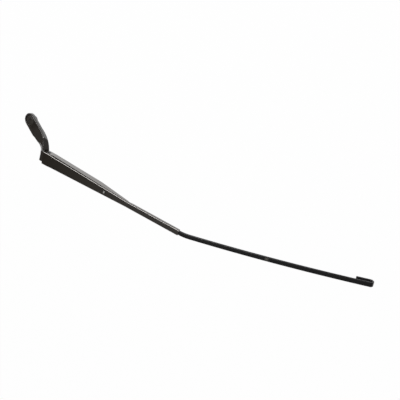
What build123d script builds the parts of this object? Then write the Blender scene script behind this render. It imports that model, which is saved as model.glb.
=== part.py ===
from math import cos, hypot, pi, radians, sin
import os

from build123d import *

os.makedirs("parts", exist_ok=True)

# Windscreen wiper arm, in millimetres.
# The origin is on the spindle axis at the hub's lower face, +Z points out along the spindle,
# and +X runs along the channel, towards the hook, as seen from above.

# Mounting head
bore_radius = 5.0
hub_radius = 7.6
hub_drop = 6.0
head_radius = 13.4
plate_height = 7.0
plate_turn = 33.0
plate_wall = 2.6
plate_length = 26.0
pocket_radius = 10.0
pocket_depth = 5.4
neck_width = 10.0
neck_bend = Vector(39.2, -24.4)
neck_bend_turn = 52.0
neck_bend_width = 20.5
neck_end_turn = 85.0
neck_rise = 4.4
neck_drop = 1.0
shoulder_length = 16.5
shoulder_inset = 1.9
shoulder_edge = 0.9
head_edge = 1.2
hollow_width = 17.0
hollow_length = 25.0
hollow_middle = 25.0

# Nut cap in the head's round end
cap_clearance = 0.05
cap_flange = 1.0
cap_skirt = 4.0
cap_wall = 1.4
cap_crown = 0.9
cap_flat = 6.6
cap_sink = 1.0
cap_slot_length = 9.0
cap_slot_width = 2.4
cap_slot_turn = 31.0

# Hinge, the fall of the channel when the arm hangs free, and how far it lifts from there
hinge_x = 62.0
hinge_y = -51.0
hinge_z = 12.65
channel_fall = 8.0
lift_angle = 50.0
hinge_pin_radius = 2.5
pin_head_radius = 4.2
pin_head_height = 1.6
pin_head_flat = 2.4
bush_wall = 0.9
bush_length = 4.0
bush_flange = 1.0
bush_flange_radius = 4.6
eye_radius = 4.9
running_clearance = 0.05
press_clearance = 0.01
side_clearance = 0.2
swing_clearance = 0.4

# Pressed channel, measured from the hinge along its own axis
sheet = 1.2
hinge_depth = 6.5
tail = 7.0
hinge_flat = 5.5
straight_start = 11.5
wall_low = 11.5
wall_high = 14.8
taper_knee = 118.5
taper_end = 181.5
channel_end = 291.5
wall_height = 12.9
knee_height = 12.3
crease_depth = 4.2
wall_slant = 1.4
skirt_flare = 0.5
fold_radius = 1.5
flap_thick = 0.8
seam_gap = 1.0

# Flat bar with the hook for the blade
bar_width = 9.0
bar_thick = 3.0
bar_edge = 0.8
bar_clearance = 0.13
bar_tail = 8.0
bar_exit = 292.0
bar_sideways = 10.7
bar_drop = 5.3
bend_length = 20.0
bow_angle = 4.1
bow_length = 289.5
hook_straight = 19.2
hook_leg = 22.2
hook_gap = 5.9

# Rivet through the channel and the bar, which also holds the spring
rivet_x = 133.5
rivet_radius = 2.0
rivet_head_radius = 3.4
rivet_head_height = 1.3
rivet_head_flat = 2.0
rivet_foot_radius = 3.4
rivet_foot = 1.0
spring_depth = 9.1

# Spring, its link and the link's pin; the pin is placed from the hinge axis
link_pin_x = 4.6
link_pin_z = -3.6
link_pin_radius = 1.5
link_eye_radius = 2.9
link_thick = 2.0
link_shank = 3.0
link_side_clearance = 0.8
link_slot_start = 0.9
link_length = 24.0
link_hole_radius = 1.7
wire_radius = 0.75
wire_clearance = 0.3
wire_sides = 6
coil_turns = 16
coil_pitch = 3.6
coil_steps = 8
loop_neck = 1.5
loop_steps = 8
hook_tail = 4.0

# Frames and fits that the pieces share
plate_bottom = hub_drop
plate_top = hub_drop + plate_height
hinge = Vector(hinge_x, hinge_y, hinge_z)
fall = radians(channel_fall)
arm = Plane(origin=hinge, x_dir=(cos(fall), 0, -sin(fall)), z_dir=(sin(fall), 0, cos(fall)))
channel_top = arm.offset(hinge_depth)
hinge_across = Plane(origin=hinge, x_dir=(1, 0, 0), z_dir=(0, -1, 0))
inside_low = -wall_low + sheet
inside_high = wall_high - sheet
tongue_low = inside_low + bush_flange + side_clearance
tongue_high = inside_high - bush_flange - side_clearance
bush_radius = hinge_pin_radius + running_clearance + bush_wall
slot_half = link_thick / 2 + link_side_clearance
bar_depth = sheet + bar_clearance + bar_thick / 2
coil_radius = rivet_radius + wire_radius + wire_clearance
crimp_half = bar_width / 2 + bar_clearance + sheet
crimp_height = sheet + bar_thick + 2 * bar_clearance + flap_thick


def station(x):
    """Plane across the channel at x along its axis: local x is the width, local y is outward."""
    return Plane(origin=channel_top.from_local_coords((x, 0, 0)), x_dir=(0, 1, 0), z_dir=arm.x_dir)


def hinge_side(y):
    """Plane square to the hinge pin at y from the arm's centre line, facing -Y."""
    return hinge_across.offset(-y)


def arc_axis(frame, axis, angle, length):
    """Axis that a frame turns about to follow an arc of this length through this angle."""
    return Axis(frame.origin + axis.cross(frame.x_dir) * (length / radians(angle)), axis)


def bent(frame, axis, angle, length):
    """Frame at the end of an arc of this length that turns by angle about axis."""
    centre = arc_axis(frame, axis, angle, length)
    spin = Axis((0, 0, 0), axis)
    end = centre.position + (frame.origin - centre.position).rotate(spin, angle)
    return Plane(origin=end, x_dir=frame.x_dir.rotate(spin, angle), z_dir=frame.z_dir.rotate(spin, angle))


def across(frame):
    """Plane square to a bar's run, with the bar's width along its local x."""
    return Plane(origin=frame.origin, x_dir=frame.y_dir, z_dir=frame.x_dir)


def moved_on(frame, distance):
    """Frame carried straight on along its own x."""
    return Plane(origin=frame.origin + frame.x_dir * distance, x_dir=frame.x_dir, z_dir=frame.z_dir)


# Head: a die casting with a round end, a cranked neck and a forked tongue for the hinge
along = Vector(cos(radians(plate_turn)), -sin(radians(plate_turn)))
side = Vector(-along.Y, along.X)
plate_end = along * plate_length
tail_reach = hypot(tail, max(hinge_depth, wall_height - hinge_depth)) + swing_clearance
shoulder_x = hinge_x - shoulder_length
shoulder_low = hinge_y - wall_low + shoulder_inset
shoulder_high = hinge_y + wall_high - shoulder_inset
shoulder_mid = (shoulder_low + shoulder_high) / 2
shoulder_top = plate_top + neck_rise
shoulder_bottom = plate_bottom - neck_drop
neck_end = Vector(shoulder_x + neck_width / 2 + head_edge, shoulder_mid)
lifted_normal = radians(90 - channel_fall + lift_angle)
web_top = Vector(cos(lifted_normal), sin(lifted_normal)) * (hinge_depth - sheet - swing_clearance)
web_run = Vector(-sin(lifted_normal), cos(lifted_normal)) * (tail_reach + head_edge)
tongue_bottom = link_pin_z - link_eye_radius


def neck_section(place, turn, low, high):
    """Plane square to the neck at a place in plan, half-way between two heights."""
    centre = Vector(place.X, place.Y, (low + high) / 2)
    ahead = Vector(cos(radians(turn)), -sin(radians(turn)))
    return Plane(origin=centre, x_dir=(-ahead.Y, ahead.X, 0), z_dir=ahead)


with BuildPart() as head:
    with BuildSketch(Plane.XY.offset(shoulder_bottom)):
        with Locations((shoulder_x + shoulder_length / 2, shoulder_mid)):
            RectangleRounded(shoulder_length, shoulder_high - shoulder_low, head_edge)
    extrude(amount=shoulder_top - shoulder_bottom)
    chamfer(head.edges().group_by(Axis.Z)[-1], shoulder_edge)
    with BuildSketch(Plane.XY.offset(plate_bottom)):
        with BuildLine():
            ThreePointArc(side * -head_radius, along * -head_radius, side * head_radius)
            Polyline(side * head_radius, side * head_radius + plate_end, side * -head_radius + plate_end,
                     side * -head_radius)
        make_face()
    extrude(amount=plate_height)
    for rim in (plate_top, plate_bottom):
        edges = head.edges().filter_by_position(Axis.Z, rim, rim)
        free = [edge for edge in edges if abs((edge.center() - plate_end).dot(along)) > head_edge]
        chamfer(free, head_edge)
    for place, turn, width, low, high in (
        (plate_end, plate_turn, 2 * head_radius, plate_bottom, plate_top),
        (neck_bend, neck_bend_turn, neck_bend_width, plate_bottom - neck_drop / 2, plate_top + neck_rise / 2),
        (neck_end, neck_end_turn, neck_width, shoulder_bottom, shoulder_top),
    ):
        with BuildSketch(neck_section(place, turn, low, high)) as section:
            Rectangle(width, high - low)
            chamfer(section.vertices(), head_edge)
    loft()
    with BuildSketch(hinge_side(wall_high + swing_clearance)):
        Circle(tail_reach)
    extrude(amount=wall_low + wall_high + 2 * swing_clearance, mode=Mode.SUBTRACT)
    with BuildSketch(hinge_side(tongue_high)):
        Circle(eye_radius)
        with Locations((link_pin_x, link_pin_z)):
            Circle(link_eye_radius)
        with BuildLine():
            Polyline(web_top, web_top + web_run, Vector(web_top.X + web_run.X, tongue_bottom),
                     (link_pin_x, tongue_bottom), (link_pin_x, link_pin_z), web_top)
        make_face()
    extrude(amount=tongue_high - tongue_low)
    with BuildSketch(hinge_side(slot_half)):
        with Locations((link_slot_start, 0)):
            Rectangle(tail_reach, 2 * plate_top + 2 * neck_rise, align=(Align.MIN, Align.CENTER))
    extrude(amount=2 * slot_half, mode=Mode.SUBTRACT)
    with BuildSketch(hinge_side(tongue_high)):
        Circle(bush_radius + press_clearance)
        with Locations((link_pin_x, link_pin_z)):
            Circle(link_pin_radius + press_clearance)
    extrude(amount=tongue_high - tongue_low, mode=Mode.SUBTRACT)
    with BuildSketch(Plane.XY.offset(shoulder_bottom)):
        with Locations(Location(tuple(along * hollow_middle), -plate_turn)):
            SlotOverall(hollow_length, hollow_width)
    extrude(amount=plate_top - plate_wall - shoulder_bottom, mode=Mode.SUBTRACT)
    with BuildSketch():
        Circle(hub_radius)
    extrude(amount=hub_drop + plate_wall)
    with BuildSketch(Plane.XY.offset(plate_top - pocket_depth)):
        Circle(pocket_radius)
    extrude(amount=2 * pocket_depth, mode=Mode.SUBTRACT)
    with BuildSketch():
        Circle(bore_radius)
    extrude(amount=plate_top, mode=Mode.SUBTRACT)
head.part.label = "head"
export_step(head.part, "parts/head.step")

# Nut cap: a moulded plastic cap with a low crown and a slot to prise it by, pushed into the nut pocket
cap_radius = pocket_radius - cap_clearance
cap_top = plate_top - cap_sink
cap_under = cap_top - cap_crown - cap_flange
with BuildPart() as nut_cap:
    with BuildSketch(Plane.XZ):
        with BuildLine():
            Polyline(
                (0, cap_under), (0, cap_top), (cap_flat, cap_top), (cap_radius, cap_top - cap_crown),
                (cap_radius, cap_top - cap_skirt), (cap_radius - cap_wall, cap_top - cap_skirt),
                (cap_radius - cap_wall, cap_under), close=True,
            )
        make_face()
    revolve(axis=Axis.Z)
    with BuildSketch(Plane.XY.offset(cap_top)):
        SlotOverall(cap_slot_length, cap_slot_width, rotation=cap_slot_turn)
    extrude(amount=-cap_crown, mode=Mode.SUBTRACT)
nut_cap.part.label = "nut_cap"
export_step(nut_cap.part, "parts/nut_cap.step")

# Flanged hinge bushes, pressed into the two cheeks of the head's tongue
for name, face, outward in (("bush_left", tongue_high, 1), ("bush_right", tongue_low, -1)):
    with BuildPart() as bush:
        with BuildSketch(hinge_side(face)):
            Circle(bush_flange_radius)
            Circle(hinge_pin_radius + running_clearance, mode=Mode.SUBTRACT)
        extrude(amount=-outward * bush_flange)
        with BuildSketch(hinge_side(face)):
            Circle(bush_radius)
            Circle(hinge_pin_radius + running_clearance, mode=Mode.SUBTRACT)
        extrude(amount=outward * bush_length)
    bush.part.label = name
    export_step(bush.part, f"parts/{name}.step")

# Link pin: a plain steel pin across the fork, which the spring's link hooks on
with BuildPart() as link_pin:
    with BuildSketch(hinge_side(tongue_high)):
        with Locations((link_pin_x, link_pin_z)):
            Circle(link_pin_radius)
    extrude(amount=tongue_high - tongue_low)
link_pin.part.label = "link_pin"
export_step(link_pin.part, "parts/link_pin.step")

# Hinge pin: a rivet through both channel walls, with a coned head on each
with BuildPart() as hinge_pin:
    with BuildSketch(Plane(origin=hinge, x_dir=(0, 1, 0), z_dir=(1, 0, 0))):
        with BuildLine():
            left_end = wall_high + pin_head_height
            right_end = -wall_low - pin_head_height
            Polyline(
                (right_end, 0), (left_end, 0), (left_end, pin_head_flat), (wall_high, pin_head_radius),
                (wall_high, hinge_pin_radius), (-wall_low, hinge_pin_radius), (-wall_low, pin_head_radius),
                (right_end, pin_head_flat), close=True,
            )
        make_face()
    revolve(axis=Axis(hinge, (0, 1, 0)))
hinge_pin.part.label = "hinge_pin"
export_step(hinge_pin.part, "parts/hinge_pin.step")

# Channel: pressed sheet with a tapering open trough, folded shut round the bar at its far end
taper = (taper_knee - straight_start) / (taper_end - straight_start)
knee_low = wall_low + (crimp_half - wall_low) * taper
knee_high = wall_high + (crimp_half - wall_high) * taper
knee_slant = wall_slant * (1 - taper)
trough = (
    (-tail, wall_low, wall_high, wall_height, 0, 0),
    (hinge_flat, wall_low, wall_high, wall_height, 0, 0),
    (straight_start, wall_low, wall_high, wall_height, 0, wall_slant),
    (taper_knee, knee_low, knee_high, knee_height, skirt_flare, knee_slant),
    (taper_end, crimp_half, crimp_half, crimp_height, 0, 0),
)


def trough_section(inset, low, high, height, flare, slant):
    """Outline of the trough: flat top, sides that slant out to a crease, and a skirt that may flare."""
    left, right, bottom = high - inset, -low + inset, -height - inset
    left_side = [(left - slant, -inset), (left, -crease_depth), (left + flare, bottom)]
    right_side = [(right - flare, bottom), (right, -crease_depth), (right + slant, -inset)]
    Polyline(*left_side, *right_side, close=True)


with BuildPart() as channel:
    for inset, mode in ((0, Mode.ADD), (sheet, Mode.SUBTRACT)):
        for start, end in zip(trough[:-1], trough[1:]):
            for x, *sizes in (start, end):
                with BuildSketch(station(x)) as section:
                    with BuildLine():
                        trough_section(inset, *sizes)
                    make_face()
                    if mode == Mode.ADD:
                        fillet(section.vertices().sort_by(Axis.Y)[-2:], fold_radius)
            loft(ruled=True, mode=mode)
    with BuildSketch(station(taper_end)) as section:
        with BuildLine():
            trough_section(0, *trough[-1][1:])
        make_face()
        fillet(section.vertices().sort_by(Axis.Y)[-2:], fold_radius)
        with Locations((0, -bar_depth)):
            Rectangle(bar_width + 2 * bar_clearance, bar_thick + 2 * bar_clearance, mode=Mode.SUBTRACT)
        with Locations((0, -crimp_height)):
            Rectangle(seam_gap, bar_thick, mode=Mode.SUBTRACT)
    extrude(amount=channel_end - taper_end)
    with BuildSketch(hinge_side(wall_high)):
        Circle(hinge_pin_radius + press_clearance)
    extrude(amount=wall_low + wall_high, mode=Mode.SUBTRACT)
    with BuildSketch(channel_top):
        with Locations((rivet_x, 0)):
            Circle(rivet_radius + press_clearance)
    extrude(amount=-2 * sheet, mode=Mode.SUBTRACT)
channel.part.label = "channel"
export_step(channel.part, "parts/channel.step")

# Hook bar: flat bar with eased edges, bent where it leaves the channel, bowed, and turned back as a hook
bar_place = channel_top.from_local_coords((rivet_x - bar_tail, 0, -bar_depth))
bar_start = Plane(origin=bar_place, x_dir=arm.x_dir, z_dir=arm.z_dir)
bar_inside = bar_exit - rivet_x + bar_tail
bend_start = moved_on(bar_start, bar_inside)
bend_lift = arm.y_dir * sin(radians(bar_drop))
bend_axis = (bend_lift + arm.z_dir * (sin(radians(bar_sideways)) * cos(radians(bar_drop)))).normalized()
bend_angle = Vector(1, 0, 0).get_angle(Vector(1, 0, 0).rotate(Axis.Y, bar_drop).rotate(Axis.Z, bar_sideways))
bow_start = bent(bend_start, bend_axis, bend_angle, bend_length)
bow_end = bent(bow_start, bow_start.z_dir, bow_angle, bow_length)
hook_start = moved_on(bow_end, hook_straight)
hook_turn = pi * (hook_gap + bar_thick) / 2
hook_end = bent(hook_start, hook_start.y_dir, 180, hook_turn)
with BuildPart() as hook_bar:
    for frame, length in ((bar_start, bar_inside), (bow_end, hook_straight), (hook_end, hook_leg)):
        with BuildSketch(across(frame)) as section:
            Rectangle(bar_width, bar_thick)
            chamfer(section.vertices(), bar_edge)
        extrude(amount=length)
    for frame, axis, angle, length in (
        (bend_start, bend_axis, bend_angle, bend_length),
        (bow_start, bow_start.z_dir, bow_angle, bow_length),
        (hook_start, hook_start.y_dir, 180, hook_turn),
    ):
        with BuildSketch(across(frame)) as section:
            Rectangle(bar_width, bar_thick)
            chamfer(section.vertices(), bar_edge)
        revolve(axis=arc_axis(frame, axis, angle, length), revolution_arc=angle)
    with BuildSketch(channel_top):
        with Locations((rivet_x, 0)):
            Circle(rivet_radius + press_clearance)
    extrude(amount=-2 * bar_depth, mode=Mode.SUBTRACT)
hook_bar.part.label = "hook_bar"
export_step(hook_bar.part, "parts/hook_bar.step")

# Bar rivet: a low coned head on the outside, with a footed shank inside that the spring hooks round
rivet_place = channel_top.from_local_coords((rivet_x, 0, 0))
foot_top = -spring_depth - wire_radius - wire_clearance
foot_bottom = foot_top - rivet_foot
with BuildPart() as bar_rivet:
    with BuildSketch(Plane(origin=rivet_place, x_dir=arm.x_dir, z_dir=arm.y_dir * -1)):
        with BuildLine():
            Polyline(
                (0, foot_bottom), (0, rivet_head_height), (rivet_head_flat, rivet_head_height),
                (rivet_head_radius, 0), (rivet_radius, 0), (rivet_radius, foot_top),
                (rivet_foot_radius, foot_top), (rivet_foot_radius, foot_bottom), close=True,
            )
        make_face()
    revolve(axis=Axis(rivet_place, arm.z_dir))
bar_rivet.part.label = "bar_rivet"
export_step(bar_rivet.part, "parts/bar_rivet.step")

# Spring link: a stamped steel link from the head's link pin to the spring
pull_start = hinge_across.from_local_coords((link_pin_x, link_pin_z, 0))
pull_end = channel_top.from_local_coords((rivet_x, 0, -spring_depth))
pull = (pull_end - pull_start).normalized()
pull_plane = Plane(origin=pull_start, x_dir=pull, z_dir=(0, -1, 0))
with BuildPart() as spring_link:
    with BuildSketch(pull_plane.offset(-link_thick / 2)):
        with Locations((link_length / 2, 0)):
            Rectangle(link_length, link_shank)
        with Locations((0, 0), (link_length, 0)):
            Circle(link_eye_radius)
        Circle(link_pin_radius + running_clearance, mode=Mode.SUBTRACT)
        with Locations((link_length, 0)):
            Circle(link_hole_radius, mode=Mode.SUBTRACT)
    extrude(amount=link_thick)
spring_link.part.label = "spring_link"
export_step(spring_link.part, "parts/spring_link.step")

# Tension spring: one wound wire, with a half loop through the link's hole and a long hook round the rivet
loop_at = link_length + link_hole_radius - wire_radius - wire_clearance + coil_radius
coil_start = loop_at + loop_neck
rivet_at = (pull_end - pull_start).length
coil_frame = Plane(origin=pull_start, x_dir=(0, 1, 0), z_dir=pull)


def wound(x, angle):
    """Point of the coil's wire at x along the pull, at an angle round it."""
    return coil_frame.from_local_coords((coil_radius * cos(angle), coil_radius * sin(angle), x))


def hooked(x, angle):
    """Point of a flat loop with its middle at x along the pull, at an angle from its coil side."""
    return coil_frame.from_local_coords((coil_radius * cos(angle), 0, x + coil_radius * sin(angle)))


loop = [hooked(loop_at, pi * step / loop_steps - pi) for step in range(loop_steps + 1)]
turns = [step / coil_steps for step in range(coil_turns * coil_steps + 1)]
coil = [wound(coil_start + turn * coil_pitch, 2 * pi * turn) for turn in turns]
hook = [hooked(rivet_at, pi * step / loop_steps) for step in range(loop_steps + 1)]
with BuildPart() as tension_spring:
    with BuildLine() as wire:
        Polyline(*loop, *coil, *hook, hooked(rivet_at - hook_tail, pi))
    with BuildSketch(Plane(origin=wire.line @ 0, z_dir=wire.line % 0)):
        RegularPolygon(wire_radius, wire_sides)
    sweep(path=wire.line, transition=Transition.RIGHT)
tension_spring.part.label = "tension_spring"
export_step(tension_spring.part, "parts/tension_spring.step")
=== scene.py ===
import bmesh
import bpy
import numpy as np
from mathutils import Matrix


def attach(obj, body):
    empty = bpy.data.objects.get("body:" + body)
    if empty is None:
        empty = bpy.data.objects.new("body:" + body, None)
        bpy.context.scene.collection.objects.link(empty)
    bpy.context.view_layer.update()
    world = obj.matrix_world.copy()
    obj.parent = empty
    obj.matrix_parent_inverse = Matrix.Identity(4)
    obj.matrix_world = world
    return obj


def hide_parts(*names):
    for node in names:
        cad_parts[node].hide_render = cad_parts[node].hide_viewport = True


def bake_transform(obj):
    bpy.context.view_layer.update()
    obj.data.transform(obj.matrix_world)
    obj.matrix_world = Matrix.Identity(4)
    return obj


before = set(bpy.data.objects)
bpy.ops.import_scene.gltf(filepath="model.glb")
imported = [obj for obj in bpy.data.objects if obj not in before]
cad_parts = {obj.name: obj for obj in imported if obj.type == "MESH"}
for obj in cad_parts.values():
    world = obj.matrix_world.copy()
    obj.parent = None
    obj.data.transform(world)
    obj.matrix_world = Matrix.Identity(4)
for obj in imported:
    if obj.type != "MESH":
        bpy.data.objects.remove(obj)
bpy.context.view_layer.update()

# Head: an aluminium die casting under a satin black coat, clamped on the wiper spindle by a nut.
# It keeps its CAD shape, apart from the neck, whose flanks slope as the casting die leaves them.
# The coat is a little thin on the edges, where it shows a lighter, polished line.
MM = 0.001


def linear(hex_colour):
    """Linear RGBA of an sRGB hex colour: each channel goes through the sRGB curve."""
    channel = np.array([int(hex_colour[i:i + 2], 16) for i in (1, 3, 5)]) / 255
    curve = np.where(channel <= 0.04045, channel / 12.92, ((channel + 0.055) / 1.055) ** 2.4)
    return (*curve, 1.0)


def add(tree, kind, settings=None, **sockets):
    """Adds a node. Settings are its own properties, and sockets, given by name or as i0, i1 and so on,
    take a value or another node's output."""
    node = tree.nodes.new(kind)
    for name, value in (settings or {}).items():
        setattr(node, name, value)
    for name, value in sockets.items():
        numbered = name[0] == "i" and name[1:].isdigit()
        socket = node.inputs[int(name[1:]) if numbered else name.replace("_", " ")]
        if isinstance(value, bpy.types.NodeSocket):
            tree.links.new(value, socket)
        else:
            socket.default_value = value
    return node


def finish(name, dark, light, roughness, patch_mm, grain_mm, bump, edge=None, edge_mm=0.0, rubs_and_glints=(),
           **shading):
    """A surface whose colour and roughness drift in patches, with a fine grain in relief. Edges may be
    rounded and lighter. A spot, given as its middle and three half sizes in mm and a colour, fades out from
    its middle: the bar takes one as a rub of its coat, the bar rivet one as a painted highlight. Other
    values go to the shader's own sockets."""
    rough_low, rough_high = roughness * 0.85, roughness * 1.15
    grain_height = grain_mm * MM * 0.1
    edge_begins, edge_full = 0.99, 0.8
    material = bpy.data.materials.new(name)
    material.use_nodes = True
    tree = material.node_tree
    shader = tree.nodes["Principled BSDF"]
    place = add(tree, "ShaderNodeTexCoord").outputs["Object"]
    patches = add(tree, "ShaderNodeTexNoise", Vector=place, Scale=1 / (patch_mm * MM), Detail=3.0)
    patches = patches.outputs["Fac"]
    grain = add(tree, "ShaderNodeTexNoise", Vector=place, Scale=1 / (grain_mm * MM), Detail=4.0)
    colour = add(tree, "ShaderNodeMix", {"data_type": "RGBA"}, i0=patches, i6=linear(dark),
                 i7=linear(light))
    rough = add(tree, "ShaderNodeMapRange", Value=patches, To_Min=rough_low, To_Max=rough_high)
    relief = add(tree, "ShaderNodeBump", Height=grain.outputs["Fac"], Strength=bump,
                 Distance=grain_height)
    if edge:
        rounded = add(tree, "ShaderNodeBevel", {"samples": 8}, Radius=edge_mm * MM).outputs["Normal"]
        tree.links.new(rounded, relief.inputs["Normal"])
        flat = add(tree, "ShaderNodeNewGeometry").outputs["Normal"]
        turn = add(tree, "ShaderNodeVectorMath", {"operation": "DOT_PRODUCT"}, i0=rounded, i1=flat)
        thin = add(tree, "ShaderNodeMapRange", Value=turn.outputs["Value"], From_Min=edge_begins,
                   From_Max=edge_full)
        worn = add(tree, "ShaderNodeMath", {"operation": "MULTIPLY"}, i0=thin.outputs["Result"], i1=patches)
        colour = add(tree, "ShaderNodeMix", {"data_type": "RGBA"}, i0=worn.outputs["Value"],
                     i6=colour.outputs[2], i7=linear(edge))
    # Each spot fades a colour in from its middle: the bar's is a rub of its coat, the bar rivet's a painted
    # highlight.
    for centre, half_sizes, spot_colour in rubs_and_glints:
        away = add(tree, "ShaderNodeVectorMath", {"operation": "SUBTRACT"}, i0=place,
                   i1=np.array(centre) * MM)
        scaled = add(tree, "ShaderNodeVectorMath", {"operation": "DIVIDE"}, i0=away.outputs[0],
                     i1=np.array(half_sizes) * MM)
        distance = add(tree, "ShaderNodeVectorMath", {"operation": "LENGTH"}, i0=scaled.outputs[0])
        spot_share = add(tree, "ShaderNodeMapRange", Value=distance.outputs["Value"], From_Min=1.0,
                     From_Max=0.0)
        colour = add(tree, "ShaderNodeMix", {"data_type": "RGBA"}, i0=spot_share.outputs["Result"],
                     i6=colour.outputs[2], i7=linear(spot_colour))
    tree.links.new(colour.outputs[2], shader.inputs["Base Color"])
    tree.links.new(rough.outputs["Result"], shader.inputs["Roughness"])
    tree.links.new(relief.outputs["Normal"], shader.inputs["Normal"])
    for socket, value in shading.items():
        shader.inputs[socket.replace("_", " ")].default_value = value
    return material


def closed_mesh(name, grid):
    """Closed mesh of a grid of points in mm. Rows run along the piece and columns go round it, and each
    end row is closed by quads between columns that lie opposite. Where the volume comes out negative, all
    faces are turned round."""
    rows, columns = grid.shape[:2]
    index = np.arange(rows * columns).reshape(rows, columns)
    beside = np.roll(index, -1, axis=1)
    skin = np.stack([index[:-1], beside[:-1], beside[1:], index[1:]], -1).reshape(-1, 4)
    pair = np.arange(columns // 2 - 1)
    quads = np.stack([pair, pair + 1, columns - 2 - pair, columns - 1 - pair], -1)
    faces = np.concatenate([skin, index[0][quads][:, ::-1], index[-1][quads]])
    points = grid.reshape(-1, 3) * MM
    a, b, c, d = (points[faces[:, i]] - points.mean(0) for i in range(4))
    volume = (np.cross(a, b) * c).sum() + (np.cross(a, c) * d).sum()
    mesh = bpy.data.meshes.new(name)
    mesh.from_pydata(points, [], faces if volume > 0 else faces[:, ::-1])
    return mesh


def piece_of(mesh):
    """An object of this mesh, at the origin."""
    piece = bpy.data.objects.new(mesh.name, mesh)
    bpy.context.collection.objects.link(piece)
    return piece


def stands_for(node, mesh, material, body=None, sharp_angle=40):
    """A piece in the place of a CAD node, which is hidden, and which rides on a body if one is given.
    It is smooth, apart from edges that turn by more than sharp_angle degrees."""
    mesh.polygons.foreach_set("use_smooth", np.ones(len(mesh.polygons), bool))
    mesh.set_sharp_from_angle(angle=np.radians(sharp_angle))
    mesh.materials.clear()
    mesh.materials.append(material)
    piece = piece_of(mesh)
    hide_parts(node)
    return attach(piece, body) if body else piece


def flank_wedge(name, corners, outward, inset, depth, span, rise, fade):
    """Wedge that cuts one flank of the neck to a slope. A quadratic curve through three corners is the
    neck's top edge. The section under it is a triangle, inset across the top and depth down the flank,
    which swells over the share rise of the curve and fades over the share fade, both as 3s^2 - 2s^3."""
    steps, knot, proud = 40, 0.424, 0.4
    t = np.linspace(*span, steps)[:, None]
    first, middle, end = np.array(corners)
    edge = (first * (t - knot) * (t - 1) / knot + middle * t * (t - 1) / (knot * (knot - 1))
            + end * t * (t - knot) / (1 - knot))
    ahead = np.gradient(edge, axis=0) * (1, 1, 0)
    ahead /= np.linalg.norm(ahead, axis=1, keepdims=True)
    out = outward * np.stack([-ahead[:, 1], ahead[:, 0], 0 * t[:, 0]], -1)
    up = np.array((0.0, 0.0, 1.0))
    share = np.clip(np.minimum((t - span[0]) / rise, (span[1] - t) / fade), 0.0, 1.0)
    swell = share ** 2 * (3 - 2 * share)
    slope = depth / inset
    top = edge - out * (inset * swell + proud / slope) + up * proud
    low = edge + out * proud - up * (depth * swell + proud * slope)
    clear = out * 4 * proud
    return closed_mesh(name, np.stack([top, edge + clear + up * proud, low + clear, low], axis=1))


merge_mm = 0.001
neck_right_edge = ((29.1, -2.92, 13.0), (47.28, -18.09, 15.2), (56.68, -48.91, 17.4))
neck_left_edge = ((14.5, -25.4, 13.0), (31.12, -30.71, 15.2), (46.72, -49.79, 17.4))
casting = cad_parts["head"].data.copy()
casting.name = "cast_head"
merged = bmesh.new()
merged.from_mesh(casting)
bmesh.ops.remove_doubles(merged, verts=merged.verts, dist=merge_mm * MM)
merged.to_mesh(casting)
merged.free()
right_flank = flank_wedge("right_flank", neck_right_edge, outward=1, inset=5.0, depth=10.0,
                          span=(0.25, 0.82), rise=0.25, fade=0.02)
left_flank = flank_wedge("left_flank", neck_left_edge, outward=-1, inset=9.0, depth=3.9,
                         span=(0.2, 0.97), rise=0.42, fade=0.25)
blank = piece_of(casting)
cutters = [piece_of(right_flank), piece_of(left_flank)]
for cutter in cutters:
    cut = blank.modifiers.new(cutter.name, "BOOLEAN")
    cut.operation = "DIFFERENCE"
    cut.solver = "EXACT"
    cut.object = cutter
shaped = bpy.data.meshes.new_from_object(blank.evaluated_get(bpy.context.evaluated_depsgraph_get()))
shaped.name = "drafted_head"
for spent in (blank, *cutters):
    bpy.data.objects.remove(spent)
black_casting = finish("satin black coat on cast aluminium", "#2a2622", "#36312c", roughness=0.3,
                       patch_mm=14, grain_mm=1.2, bump=0.1, edge="#44403b", edge_mm=1.3, IOR=1.9,
                       Coat_Weight=1.0, Coat_Roughness=0.2, Coat_IOR=1.6)
stands_for("head", shaped, black_casting, "head", sharp_angle=20)


# Nut cap: a disc of black plastic, pushed into the head's round end over the spindle nut, with a slot to
# prise it out by. The spark grain of its tool leaves it matt and mottled. A real grain is a few tenths of
# a millimetre wide, and it is drawn coarser here, so that it shows.
def dress(node, material):
    """Puts one material on a CAD node."""
    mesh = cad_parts[node].data
    mesh.materials.clear()
    mesh.materials.append(material)


grained_plastic = finish("spark-grained black plastic", "#040404", "#4a453e", roughness=0.45, patch_mm=8,
                         grain_mm=2.5, bump=0.8, edge="#3a3a39", edge_mm=0.4)
dress("nut_cap", grained_plastic)

# Hinge bushes: two flanged bushes of natural acetal, pressed into the cheeks of the head's tongue.
# They are off-white, waxy and a little grey from the hinge's wear.
acetal = finish("natural acetal", "#bdb9ab", "#d4d0c3", roughness=0.45, patch_mm=5, grain_mm=0.5, bump=0.1,
                Subsurface_Weight=0.1, Subsurface_Scale=0.5 * MM)
dress("bush_left", acetal)
dress("bush_right", acetal)

# Link pin: a plain ground steel pin across the fork of the tongue, which the spring's link hooks on.
# It is zinc plated with a thin bluish pass, which leaves it pale and cool.
zinc = finish("blue-passed zinc on steel", "#8f9496", "#b4b8b8", roughness=0.33, patch_mm=3, grain_mm=0.4,
              bump=0.15, Metallic=1.0)
dress("link_pin", zinc)


# Hinge pin: a steel rivet through both walls of the channel and both bushes, with a domed head on each
# side. It was set before the arm was coated, so its heads carry the same satin black.
def turned(radius, height, origin, axis, side, columns=48):
    """Surface of revolution: the profile (radius, height) goes round an axis through origin."""
    angle = (np.arange(columns) + 0.5) * 2 * np.pi / columns
    round_it = np.cos(angle)[:, None] * side + np.sin(angle)[:, None] * np.cross(axis, side)
    return origin + radius[:, None, None] * round_it[None] + height[:, None, None] * axis


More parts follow.
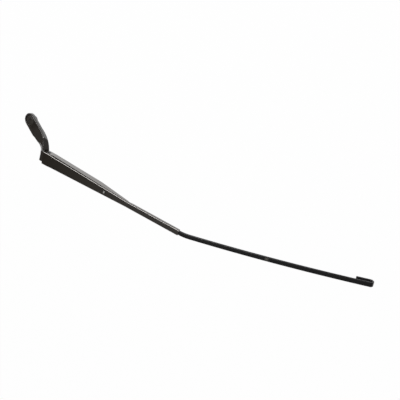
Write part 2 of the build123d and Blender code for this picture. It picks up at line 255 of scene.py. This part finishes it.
hinge = np.array((62.0, -51.0, 12.65))
fall = np.radians(8.0)
arm_x = np.array((np.cos(fall), 0, -np.sin(fall)))
arm_y = np.array((0.0, 1.0, 0.0))
arm_z = np.array((np.sin(fall), 0, np.cos(fall)))
wall_low, wall_high = 11.5, 14.8
pin_radius, pin_head_radius, pin_head_height = 2.5, 4.2, 1.6
dome_start, dome_rows = 0.06, 10
dome = np.linspace(dome_start, np.pi / 2, dome_rows)
dome_radius, dome_height = pin_head_radius * np.sin(dome), pin_head_height * np.cos(dome)
pin_profile = np.concatenate([dome_radius, [pin_radius, pin_radius], dome_radius[::-1]])
pin_height = np.concatenate([wall_high + dome_height, [wall_high, -wall_low],
                             -wall_low - dome_height[::-1]])
black_rivet = finish("satin black coat on a steel rivet", "#1d1d1c", "#2c2b2a", roughness=0.35, patch_mm=3,
                     grain_mm=0.4, bump=0.1, IOR=1.8, Coat_Weight=0.5, Coat_Roughness=0.25)
hinge_rivet = closed_mesh("hinge_pin_rivet", turned(pin_profile, pin_height, hinge, arm_y, arm_x))
stands_for("hinge_pin", hinge_rivet, black_rivet, "arm")

# Channel: sheet steel pressed to an open trough, whose sides slant out to a crease and then drop as a
# skirt. It tapers to where the sheet is folded shut round the bar, and has a glossy black powder coat,
# which mirrors what is round it and shows the fold beside its top face as a light line.
sheet, flap_sheet, hinge_depth = 1.2, 0.8, 6.5
bar_width, bar_thick, bar_clearance = 9.0, 3.0, 0.13
crimp_half = bar_width / 2 + bar_clearance + sheet
crimp_height = sheet + bar_thick + 2 * bar_clearance + flap_sheet
tail, hinge_flat, straight_start, taper_knee = 7.0, 5.5, 11.5, 118.5
taper_end, flap_start, channel_end, station_ease = 181.5, 9.0, 291.5, 3.0
wall_slant, knee_slant, skirt_flare, fold_radius = 1.4, 0.9, 0.5, 1.9
wall_height, knee_height, lip, seam_gap = 12.9, 12.3, 0.4, 1.0
crease_depth, knee_crease, sleeve_crease, crease_round = 3.0, 2.0, 2.8, 0.4
flap_width = crimp_half - seam_gap / 2
quarter_turn = np.pi / 2
stations = (-tail, hinge_flat, straight_start, taper_knee, taper_end, taper_end + flap_start, channel_end)
station_rows, ease_samples = (6, 8, 50, 40, 14, 40), 9
taper = (taper_knee - straight_start) / (taper_end - straight_start)
lengths = [np.linspace(a, b, n, endpoint=False) for a, b, n in zip(stations, stations[1:], station_rows)]
along = np.concatenate(lengths + [[channel_end]])


def follow(*values):
    """A size along the channel: straight between the stations, then a mean over station_ease each way."""
    shifts = np.linspace(-station_ease, station_ease, ease_samples)
    return np.mean([np.interp(along + shift, stations, values) for shift in shifts], axis=0)[:, None]


def knee(size):
    """A wall's distance from the middle at the knee of the taper."""
    return size + (crimp_half - size) * taper


def straight(y0, z0, y1, z1, count):
    """Straight run of a section between two points: the first plus a growing share of the difference."""
    share = np.linspace(0, 1, count)
    return y0 + (y1 - y0) * share, z0 + (z1 - z0) * share


def rounded_corner(y0, z0, y1, z1, y2, z2, count):
    """Rounded corner of a section: a quadratic curve from the first point to the third, which leaves and
    arrives along the lines through the second."""
    s = np.linspace(0, 1, count)
    return ((1 - s) ** 2 * y0 + 2 * s * (1 - s) * y1 + s ** 2 * y2,
            (1 - s) ** 2 * z0 + 2 * s * (1 - s) * z1 + s ** 2 * z2)


def side_of_channel(wall):
    """Half of the section, from the middle of the top round the fold, down the slant, the skirt and the
    flap: straight runs with an arc at the fold and rounded corners at the crease and the flap's bend.
    The third result is the share of the way from the sheet's thickness to the flap's."""
    crease_share, bend_share = 0.12, 0.45
    grip_share, grip_most = 0.4, 1.0
    arc_steps, thin_from, thin_over = 12, 26, 6
    width = follow(wall, wall, wall, knee(wall), crimp_half, crimp_half, crimp_half)
    slant = follow(0, 0, wall_slant, knee_slant, 0, 0, 0)
    flare = follow(0, 0, 0, skirt_flare, 0, 0, 0)
    height = follow(wall_height, wall_height, wall_height, knee_height, crimp_height, crimp_height,
                    crimp_height)
    flap = follow(lip, lip, lip, lip, lip, flap_width, flap_width)
    crease = follow(crease_depth, crease_depth, crease_depth, knee_crease, sleeve_crease, sleeve_crease,
                    sleeve_crease)
    fold = follow(0, 0, 0, 0, 0, quarter_turn, quarter_turn)
    lean = np.arctan(slant / crease)
    fold_reach = fold_radius * np.tan((quarter_turn - lean) / 2)
    top_end = width - slant - fold_reach
    turn = quarter_turn - (quarter_turn - lean) * np.linspace(0, 1, arc_steps)
    arc_y, arc_z = top_end + fold_radius * np.cos(turn), fold_radius * (np.sin(turn) - 1)
    wall_y, wall_z = width - crease_round * np.sin(lean), -crease + crease_round * np.cos(lean)
    foot_y, foot_z = width + flare, -height + flap * np.cos(fold) ** 2
    down_y, down_z = foot_y - width, foot_z + crease
    skirt_y, skirt_z = width + down_y * crease_share, -crease + down_z * crease_share
    bend_y, bend_z = foot_y - down_y * bend_share, foot_z - down_z * bend_share
    grip = np.minimum(flap * grip_share, grip_most)
    out_y, out_z = foot_y - grip * np.sin(fold), foot_z - grip * np.cos(fold)
    end_y, end_z = foot_y - flap * np.sin(fold), foot_z - flap * np.cos(fold)
    parts = [straight(0 * width, 0 * width, top_end, 0 * width, count=7),
             (arc_y, arc_z),
             straight(arc_y[:, -1:], arc_z[:, -1:], wall_y, wall_z, count=5),
             rounded_corner(wall_y, wall_z, width, -crease, skirt_y, skirt_z, count=5),
             straight(skirt_y, skirt_z, bend_y, bend_z, count=5),
             rounded_corner(bend_y, bend_z, foot_y, foot_z, out_y, out_z, count=7),
             straight(out_y, out_z, end_y, end_z, count=5)]
    y, z = (np.concatenate([parts[0][i]] + [part[i][:, 1:] for part in parts[1:]], axis=1) for i in (0, 1))
    thinned = np.clip((np.arange(y.shape[1]) - thin_from) / thin_over, 0, 1) * (fold / quarter_turn)
    return y, z, thinned


left_y, left_z, left_thin = side_of_channel(wall_high)
right_y, right_z, right_thin = side_of_channel(wall_low)
outer_y = np.concatenate([left_y[:, ::-1], -right_y[:, 1:]], axis=1)
outer_z = np.concatenate([left_z[:, ::-1], right_z[:, 1:]], axis=1)
thinning = np.concatenate([left_thin[:, ::-1], right_thin[:, 1:]], axis=1)
step_y, step_z = np.gradient(outer_y, axis=1), np.gradient(outer_z, axis=1)
step = np.hypot(step_y, step_z)
thickness = sheet + (flap_sheet - sheet) * thinning
inner_y, inner_z = outer_y - step_z / step * thickness, outer_z + step_y / step * thickness
section_y = np.concatenate([outer_y, inner_y[:, ::-1]], axis=1)[:, :, None]
section_z = np.concatenate([outer_z, inner_z[:, ::-1]], axis=1)[:, :, None]
channel_grid = hinge + along[:, None, None] * arm_x + section_y * arm_y + (hinge_depth + section_z) * arm_z
warm_gloss = (1.0, 0.9, 0.82, 1.0)
black_coat = finish("glossy black powder coat on sheet steel", "#18130b", "#221b11", roughness=0.26,
                    patch_mm=18, grain_mm=1.5, bump=0.05, IOR=2.0, Specular_Tint=warm_gloss,
                    Coat_Weight=1.0, Coat_Roughness=0.16, Coat_IOR=2.2)
stands_for("channel", closed_mesh("pressed_channel", channel_grid), black_coat, "arm")

# Hook bar: flat steel bar with rolled edges, bent where it leaves the channel, bowed along its length.
# Its end is turned back as the hook that takes the blade. All of it is satin black, with one light rub.
rivet_x, bar_tail, bar_exit, roll_radius, end_ease = 133.5, 8.0, 292.0, 1.2, 0.5
bar_drop, bar_sideways, bend_length = np.radians(5.3), np.radians(10.7), 20.0
bow_angle, bow_length, hook_straight, hook_leg, hook_gap = np.radians(4.1), 289.5, 19.2, 22.2, 5.9
rub_middle, rub_half_sizes = (503.7, -21.0, -59.7), (4.5, 4.5, 4.5)


def onward(start, length, steps, axis=None, angle=0.0):
    """Places, headings and width directions along a straight run, or along an arc that turns about axis,
    whose centre lies across the heading at length / angle."""
    origin, heading, wide = start
    share = np.linspace(0, 1, steps + 1)[:, None]
    if axis is None:
        return origin + heading * length * share, heading + 0 * share, wide + 0 * share
    centre = origin + np.cross(axis, heading) * length / angle

    def spin(v):
        """Turns v about the axis: its cosine part, its sine part across and its part along the axis."""
        return v * np.cos(angle * share) + np.cross(axis, v) * np.sin(angle * share) + axis * (axis @ v) * (
            1 - np.cos(angle * share))

    return centre + spin(origin - centre), spin(heading), spin(wide)


bar_depth = sheet + bar_clearance + bar_thick / 2
bend_axis = arm_y * np.sin(bar_drop) + arm_z * np.sin(bar_sideways) * np.cos(bar_drop)
bend_axis /= np.linalg.norm(bend_axis)
bend_angle = np.arccos(np.cos(bar_drop) * np.cos(bar_sideways))
bar_start = hinge + arm_x * (rivet_x - bar_tail) + arm_z * (hinge_depth - bar_depth)
inside = onward((bar_start, arm_x, arm_y), bar_exit - rivet_x + bar_tail, steps=12)
bend = onward([v[-1] for v in inside], bend_length, steps=24, axis=bend_axis, angle=bend_angle)
bow_axis = np.cross(bend[1][-1], bend[2][-1])
bow = onward([v[-1] for v in bend], bow_length, steps=60, axis=bow_axis, angle=bow_angle)
lead = onward([v[-1] for v in bow], hook_straight, steps=6)
hook_arc = np.pi * (hook_gap + bar_thick) / 2
hook = onward([v[-1] for v in lead], hook_arc, steps=32, axis=lead[2][-1], angle=np.pi)
leg = onward([v[-1] for v in hook], hook_leg, steps=8)
runs = [inside] + [[v[1:] for v in run] for run in (bend, bow, lead, hook, leg)]
bar_line, bar_heading, bar_wide = (np.concatenate(vectors) for vectors in zip(*runs))
bar_line = np.concatenate([bar_line[:1], bar_line[:1] + bar_heading[:1] * end_ease, bar_line[1:-1],
                           bar_line[-1:] - bar_heading[-1:] * end_ease, bar_line[-1:]])
bar_heading, bar_wide = (np.concatenate([v[:1], v, v[-1:]]) for v in (bar_heading, bar_wide))
end_inset = np.zeros(len(bar_line))
end_inset[[0, -1]] = end_ease
corner_steps = 8
half_round = 2 * corner_steps
corner_angle = np.concatenate([np.linspace(q, q + 1, corner_steps) for q in range(4)]) * np.pi / 2
corner_angle = np.roll(corner_angle, half_round)
quadrant = np.roll(np.repeat(np.arange(4), corner_steps), half_round)
flat_half = np.where(np.isin(quadrant, (0, 3)), 1, -1) * (bar_width / 2 - roll_radius)
thick_half = np.where(np.isin(quadrant, (0, 1)), 1, -1) * (bar_thick / 2 - roll_radius)
edge_radius = (roll_radius - end_inset)[:, None]
across = (flat_half + edge_radius * np.cos(corner_angle))[:, :, None]
through = (thick_half + edge_radius * np.sin(corner_angle))[:, :, None]
bar_thin = np.cross(bar_heading, bar_wide)
bar_grid = bar_line[:, None] + across * bar_wide[:, None] + through * bar_thin[:, None]
bar_coat = finish("satin black coat on flat steel bar", "#0a0909", "#141212", roughness=0.38, patch_mm=15,
                  grain_mm=1.2, bump=0.1, rubs_and_glints=((rub_middle, rub_half_sizes, "#77736d"),), IOR=1.6,
                  Coat_Weight=0.3, Coat_Roughness=0.3)
stands_for("hook_bar", closed_mesh("flat_hook_bar", bar_grid), bar_coat, "arm")

# Bar rivet: a steel rivet with a low domed head through the channel and the bar's tail.
# Its long shank ends inside in a foot, and the spring hooks round the shank.
# A light spot painted on the crown of its head is a painted highlight, the glint of its dome.
rivet_radius, rivet_head_radius, rivet_head_height, spring_depth = 2.0, 3.4, 1.3, 9.1
foot_radius, foot_height, foot_top, foot_edge, foot_middle = 3.4, 1.0, -10.15, 0.3, 0.2
glint_half_sizes = (2.2, 2.2, 2.2)
head_radius_row, head_height_row = rivet_head_radius * np.sin(dome), rivet_head_height * np.cos(dome)
foot_low = foot_top - foot_height
foot_row = np.array([rivet_radius, foot_radius - foot_edge, foot_radius, foot_radius,
                     foot_radius - foot_edge, foot_middle])
foot_level = np.array([foot_top, foot_top, foot_top - foot_edge, foot_low + foot_edge, foot_low, foot_low])
rivet_profile = np.concatenate([head_radius_row, [rivet_radius], foot_row])
rivet_height = np.concatenate([head_height_row, [0.0], foot_level])
rivet_place = hinge + arm_x * rivet_x + arm_z * hinge_depth
set_rivet = closed_mesh("bar_rivet_set", turned(rivet_profile, rivet_height, rivet_place, arm_z, arm_x))
crown = tuple(rivet_place + arm_z * rivet_head_height)
# Painted highlight: a light spot on the rivet's crown stands in for the glint of its dome.
rivet_with_painted_glint = finish("satin black coat with a painted glint on a rivet", "#1d1d1c", "#2c2b2a", roughness=0.3,
                      patch_mm=3, grain_mm=0.4, bump=0.1, rubs_and_glints=((crown, glint_half_sizes, "#dcd8d0"),),
                      IOR=1.8, Coat_Weight=0.5, Coat_Roughness=0.2)
stands_for("bar_rivet", set_rivet, rivet_with_painted_glint, "arm")

# Spring link: a flat link stamped from steel, from the head's link pin to the spring's loop.
# It is zinc plated like the pin.
dress("spring_link", zinc)

# Tension spring: hard-drawn steel wire, wound close, with a half loop in the link's hole at the hinge end.
# At the other end a long leg hooks round the rivet's shank. The wire is phosphated and lightly oiled,
# so it is dark grey with a dull shine. A circle is carried along its smoothed line.
wire_radius, coil_radius, coil_pitch, coil_turns = 0.75, 3.05, 1.6, 36
link_length, link_hole, loop_neck, hook_tail, wire_clearance = 24.0, 1.7, 1.5, 4.0, 0.3
wire_columns, steps_a_turn, loop_steps, leg_steps, tail_steps, mean_over = 10, 44, 40, 90, 12, 5
link_pin_from_hinge = np.array((4.6, 0, -3.6))
link_pin = hinge + link_pin_from_hinge
rivet_hook = rivet_place - arm_z * spring_depth
hook_at = np.linalg.norm(rivet_hook - link_pin)
pull = (rivet_hook - link_pin) / hook_at
lift = np.cross(pull, arm_y)
loop_at = link_length + link_hole - wire_radius - wire_clearance + coil_radius
coil_start = loop_at + loop_neck
coil_end = coil_start + coil_turns * coil_pitch
half_loop = np.linspace(0, np.pi, loop_steps)[:, None]
twist = np.linspace(0, 2 * np.pi * coil_turns, coil_turns * steps_a_turn)[:, None]
leg_run = np.linspace(coil_end, hook_at, leg_steps)[1:, None]
tail_run = np.linspace(hook_at, hook_at - hook_tail, tail_steps)[1:, None]
wire_out = np.concatenate([np.cos(half_loop - np.pi) * arm_y + np.sin(half_loop - np.pi) * pull,
                           np.cos(twist) * arm_y + np.sin(twist) * lift,
                           arm_y + 0 * leg_run,
                           np.cos(half_loop) * arm_y + np.sin(half_loop) * pull,
                           -arm_y + 0 * tail_run])
wire_along = np.concatenate([loop_at + 0 * half_loop, coil_start + twist * coil_pitch / (2 * np.pi),
                             leg_run, hook_at + 0 * half_loop, tail_run])
wire_line = link_pin + wire_along * pull + wire_out * coil_radius


def smoothed(vectors):
    """Running mean of a row of vectors, over mean_over of them, with the ends repeated."""
    padded = np.pad(vectors, ((mean_over // 2, mean_over // 2), (0, 0)), "edge")
    window = np.ones(mean_over) / mean_over
    return np.stack([np.convolve(column, window, "valid") for column in padded.T], -1)


wire_line, wire_out = smoothed(wire_line), smoothed(wire_out)
wire_ahead = np.gradient(wire_line, axis=0)
wire_ahead /= np.linalg.norm(wire_ahead, axis=1, keepdims=True)
wire_out -= wire_ahead * (wire_out * wire_ahead).sum(1, keepdims=True)
wire_out /= np.linalg.norm(wire_out, axis=1, keepdims=True)
wire_side = np.cross(wire_ahead, wire_out)
round_wire = ((np.arange(wire_columns) + 0.5) * 2 * np.pi / wire_columns)[:, None]
wire_circle = np.cos(round_wire) * wire_out[:, None] + np.sin(round_wire) * wire_side[:, None]
wire_grid = wire_line[:, None] + wire_radius * wire_circle
spring_wire = finish("phosphated spring wire", "#454442", "#5e5c58", roughness=0.38, patch_mm=4,
                     grain_mm=0.4, bump=0.15, Metallic=1.0)
wound_spring = closed_mesh("close_wound_spring", wire_grid)
spring = stands_for("tension_spring", wound_spring, spring_wire)
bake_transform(spring)

# Studio: the arm floats over white paper that keeps a faint shadow, under one large soft lamp.
# The paper ends beyond the picture, so that the upper sides of the arm also mirror the room.
# The room is white to the camera alone. What lights the arm, and what its coats mirror, is a dim room.
floor_z, floor_low, floor_high = -0.26, (-2.4, -2.4), (1.2, 0.62)
paper_glow, paper_shade = 0.985, (0.8, 0.8, 0.8, 1)
(x0, y0), (x1, y1) = floor_low, floor_high
floor_corners = [(x0, y0, floor_z), (x1, y0, floor_z), (x1, y1, floor_z), (x0, y1, floor_z)]
floor_mesh = bpy.data.meshes.new("floor")
floor_mesh.from_pydata(floor_corners, [], [(0, 1, 2, 3)])
floor = piece_of(floor_mesh)
paper = bpy.data.materials.new("white paper")
paper.use_nodes = True
paper_tree = paper.node_tree
paper_tree.nodes.remove(paper_tree.nodes["Principled BSDF"])
rays = add(paper_tree, "ShaderNodeLightPath").outputs
mirrored = add(paper_tree, "ShaderNodeMath", {"operation": "MAXIMUM"}, i0=rays["Is Camera Ray"],
               i1=rays["Is Glossy Ray"])
seen = add(paper_tree, "ShaderNodeMath", {"operation": "MAXIMUM"}, i0=mirrored.outputs[0],
           i1=rays["Is Transmission Ray"])
glow = add(paper_tree, "ShaderNodeMath", {"operation": "MULTIPLY"}, i0=seen.outputs[0], i1=paper_glow)
white = add(paper_tree, "ShaderNodeEmission", Color=linear("#ffffff"), Strength=1.0)
matte = add(paper_tree, "ShaderNodeBsdfDiffuse", Color=paper_shade)
mixed = add(paper_tree, "ShaderNodeMixShader", i0=glow.outputs[0], i1=matte.outputs[0], i2=white.outputs[0])
paper_tree.links.new(mixed.outputs[0], paper_tree.nodes["Material Output"].inputs["Surface"])
floor_mesh.materials.append(paper)

dim_end, light_end, dim_level, light_level = -0.42, -0.2, 0.015, 0.12
world = bpy.data.worlds.new("studio")
bpy.context.scene.world = world
world.use_nodes = True
room_tree = world.node_tree
room_rays = add(room_tree, "ShaderNodeLightPath").outputs
towards = add(room_tree, "ShaderNodeTexCoord").outputs["Generated"]
towards = add(room_tree, "ShaderNodeSeparateXYZ", Vector=towards).outputs
room = add(room_tree, "ShaderNodeMapRange", Value=towards["X"], From_Min=dim_end, From_Max=light_end,
           To_Min=dim_level, To_Max=light_level)
level = add(room_tree, "ShaderNodeMath", {"operation": "MAXIMUM"}, i0=room.outputs["Result"],
            i1=room_rays["Is Camera Ray"])
room_tree.links.new(level.outputs["Value"], room_tree.nodes["Background"].inputs["Strength"])
room_tree.nodes["Background"].inputs["Color"].default_value = linear("#ffffff")

lamp = bpy.data.objects.new("overhead", bpy.data.lights.new("overhead", "AREA"))
lamp.data.shape = "RECTANGLE"
lamp.data.size = 1.8
lamp.data.size_y = 0.8
lamp.data.energy = 24
lamp.location = (-0.2, 0.5, 1.5)
bpy.context.collection.objects.link(lamp)

# Camera: the photo looks down on the arm's outer face, with the arm lying on a diagonal of the picture.
# Its place and turn come from fitting the channel, bar and hook edges; the lens gives a 47 degree view.
camera_right = (0.80718, 0.33748, -0.48432)
camera_up = (-0.49803, 0.82979, -0.25183)
camera_back = (0.31689, 0.44448, 0.83786)
camera = bpy.data.objects.new("camera", bpy.data.cameras.new("camera"))
camera.data.lens = 41.29
camera.data.sensor_width = 36.0
camera.matrix_world = Matrix((camera_right, camera_up, camera_back)).transposed().to_4x4()
camera.location = (0.6091, 0.3688, 0.6207)
bpy.context.collection.objects.link(camera)
bpy.context.scene.camera = camera
bpy.context.scene.view_settings.view_transform = "Standard"
